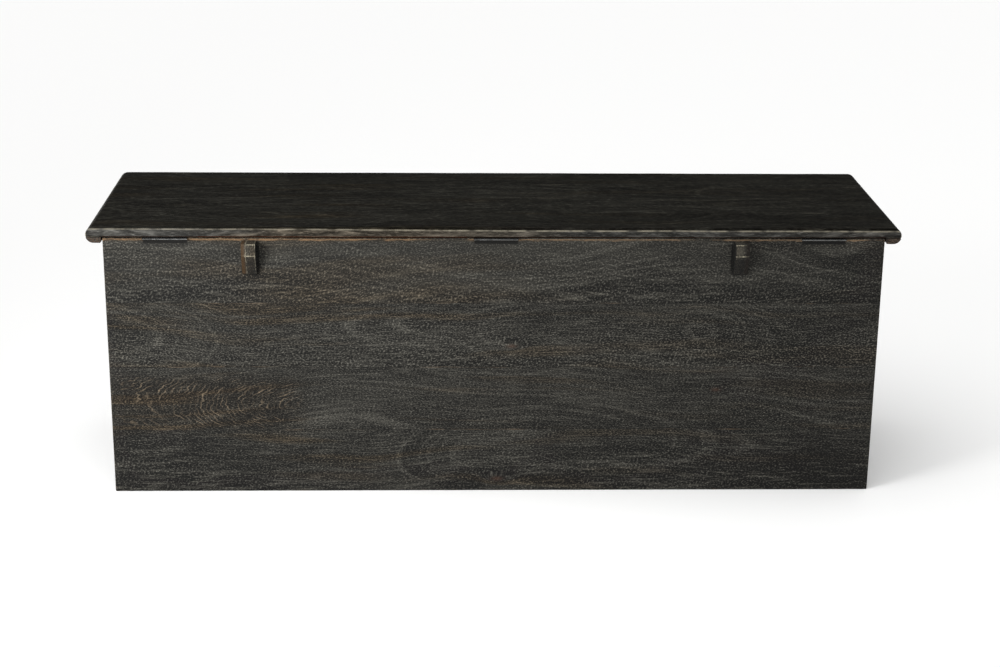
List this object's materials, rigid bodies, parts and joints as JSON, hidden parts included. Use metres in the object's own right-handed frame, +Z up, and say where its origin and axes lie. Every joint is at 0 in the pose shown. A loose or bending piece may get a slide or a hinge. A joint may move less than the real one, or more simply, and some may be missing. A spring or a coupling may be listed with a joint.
{
  "type": "storage bench",
  "caption": "Long low wooden chest whose hinged, bullnosed lid is the seat; back-hung butt hinges and two wooden stop blocks hold it just past upright.",
  "frame": {"origin": "on the floor, under the middle of the whole bench, stop blocks included", "axes": "+X along the bench to the right as seen from the front, +Y to the back where the hinges are, +Z up"},
  "size_m": [1.35, 0.426, 0.4675],
  "materials": {
    "case_wood": "charcoal stain, brushed open grain, tan rub-through on the edges",
    "lid_wood": "near-black brown stain under a smooth matt varnish",
    "inner_wood": "thin dark stain, unvarnished",
    "hinge_steel": "black lacquered steel, rubbed bright along the barrel",
    "screw_steel": "zinc-plated steel"
  },
  "bodies": {
    "case": {"back_panel": "case_wood", "front_panel": "case_wood", "side_panel_left": "case_wood", "side_panel_right": "case_wood", "bottom_panel": "inner_wood", "bottom_cleat_front": "inner_wood", "bottom_cleat_back": "inner_wood", "bottom_cleat_left": "inner_wood", "bottom_cleat_right": "inner_wood", "corner_post_front_left": "inner_wood", "corner_post_front_right": "inner_wood", "corner_post_back_left": "inner_wood", "corner_post_back_right": "inner_wood", "lid_stop_left": "case_wood", "lid_stop_right": "case_wood", "lid_stop_screw_left_upper": "screw_steel", "lid_stop_screw_left_lower": "screw_steel", "lid_stop_screw_right_upper": "screw_steel", "lid_stop_screw_right_lower": "screw_steel", "hinge_case_leaf_left": "hinge_steel", "hinge_case_leaf_middle": "hinge_steel", "hinge_case_leaf_right": "hinge_steel", "hinge_pin_left": "hinge_steel", "hinge_pin_middle": "hinge_steel", "hinge_pin_right": "hinge_steel", "hinge_case_screw_left_1": "hinge_steel", "hinge_case_screw_left_2": "hinge_steel", "hinge_case_screw_left_3": "hinge_steel", "hinge_case_screw_middle_1": "hinge_steel", "hinge_case_screw_middle_2": "hinge_steel", "hinge_case_screw_middle_3": "hinge_steel", "hinge_case_screw_right_1": "hinge_steel", "hinge_case_screw_right_2": "hinge_steel", "hinge_case_screw_right_3": "hinge_steel"},
    "lid": {"lid_panel": "lid_wood", "lid_rim_front": "lid_wood", "lid_rim_left": "lid_wood", "lid_rim_right": "lid_wood", "lid_batten_left": "inner_wood", "lid_batten_right": "inner_wood", "lid_batten_screw_left_front": "screw_steel", "lid_batten_screw_left_back": "screw_steel", "lid_batten_screw_right_front": "screw_steel", "lid_batten_screw_right_back": "screw_steel", "hinge_lid_leaf_left": "hinge_steel", "hinge_lid_leaf_middle": "hinge_steel", "hinge_lid_leaf_right": "hinge_steel", "hinge_lid_screw_left_1": "hinge_steel", "hinge_lid_screw_left_2": "hinge_steel", "hinge_lid_screw_left_3": "hinge_steel", "hinge_lid_screw_middle_1": "hinge_steel", "hinge_lid_screw_middle_2": "hinge_steel", "hinge_lid_screw_middle_3": "hinge_steel", "hinge_lid_screw_right_1": "hinge_steel", "hinge_lid_screw_right_2": "hinge_steel", "hinge_lid_screw_right_3": "hinge_steel"}
  },
  "joints": [
    {"name": "lid_hinge", "type": "hinge", "parent": "case", "child": "lid", "pos_m": [0, 0.1923, 0.44845], "axis": [-1, 0, 0], "range_deg": [0, 109]}
  ]
}
